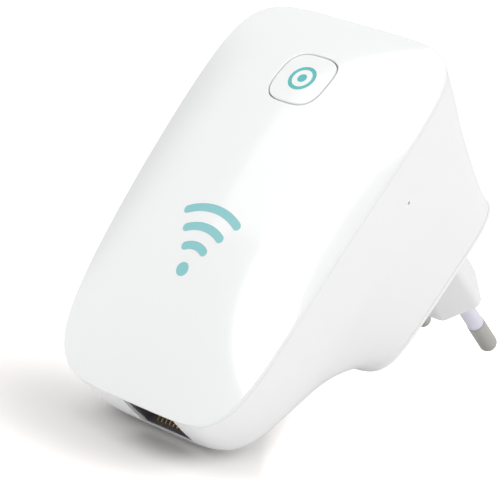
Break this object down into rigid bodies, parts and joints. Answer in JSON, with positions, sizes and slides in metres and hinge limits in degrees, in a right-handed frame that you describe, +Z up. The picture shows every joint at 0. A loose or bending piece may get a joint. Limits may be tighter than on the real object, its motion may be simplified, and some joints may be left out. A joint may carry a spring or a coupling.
{
  "type": "wifi range extender",
  "caption": "White wall-plug wifi range extender with a crowned face, a pairing button, signal lights, a network socket underneath and a two-pin plug.",
  "frame": {"origin": "centre of the plug boss end face, midway between the two pins", "axes": "+Z up along the wall, +Y into the wall along the pins, face towards -Y, +X to the right seen from the room"},
  "size_m": [0.0558, 0.0886, 0.0869],
  "materials": {
    "cover_white": "gloss",
    "housing_white": "gloss",
    "back_white": "satin",
    "plug_white": "satin",
    "pin_metal": "polished",
    "sleeve_plastic": "satin",
    "button_white": "gloss",
    "teal_print": "satin",
    "teal_light": "satin",
    "baffle_black": "matte",
    "board_green": "satin",
    "board_tan": "satin",
    "led_lens": "gloss",
    "switch_grey": "matte",
    "stem_black": "matte",
    "tin_plate": "brushed",
    "chip_black": "matte",
    "socket_black": "satin",
    "gold_wire": "polished",
    "ferrite": "matte",
    "coil_tape": "satin",
    "can_sleeve": "gloss",
    "cap_blue": "gloss",
    "fuse_body": "satin",
    "steel": "brushed",
    "brass_strip": "satin"
  },
  "bodies": {
    "case": {"front_cover": "cover_white", "housing": "housing_white", "back_plate": "back_white", "plug_boss": "plug_white", "pin_left": "pin_metal", "pin_right": "pin_metal", "sleeve_left": "sleeve_plastic", "sleeve_right": "sleeve_plastic", "icon_dot": "teal_light", "icon_arc_small": "teal_light", "icon_arc_medium": "teal_light", "icon_arc_large": "teal_light", "light_baffle": "baffle_black", "main_board": "board_green", "power_board": "board_tan", "status_leds": "led_lens", "wps_switch_body": "switch_grey", "reset_switch_body": "switch_grey", "radio_shield": "tin_plate", "radio_chip": "chip_black", "memory_chip": "chip_black", "network_transformer": "chip_black", "rj45_socket": "socket_black", "rj45_contacts": "gold_wire", "antenna_left": "tin_plate", "antenna_right": "tin_plate", "transformer_core": "ferrite", "transformer_coil": "coil_tape", "bulk_capacitors": "can_sleeve", "output_capacitors": "can_sleeve", "bridge_rectifier": "chip_black", "optocoupler": "chip_black", "fuse_resistor": "fuse_body", "choke": "ferrite", "safety_capacitor": "cap_blue", "board_spacers": "steel", "board_screws": "steel", "link_header": "chip_black", "link_pins": "gold_wire", "pin_terminals": "brass_strip"},
    "button": {"wps_button": "button_white", "button_motif": "teal_print", "wps_switch_stem": "stem_black"},
    "reset_stem": {"reset_switch_stem": "stem_black"}
  },
  "joints": [
    {"name": "button_press", "type": "slide", "parent": "case", "child": "button", "axis": [0, 1, 0], "range_m": [0, 0.00035], "stiffness_N_per_m": 600},
    {"name": "reset_press", "type": "slide", "parent": "case", "child": "reset_stem", "axis": [-1, 0, 0], "range_m": [0, 0.00025], "stiffness_N_per_m": 600}
  ]
}
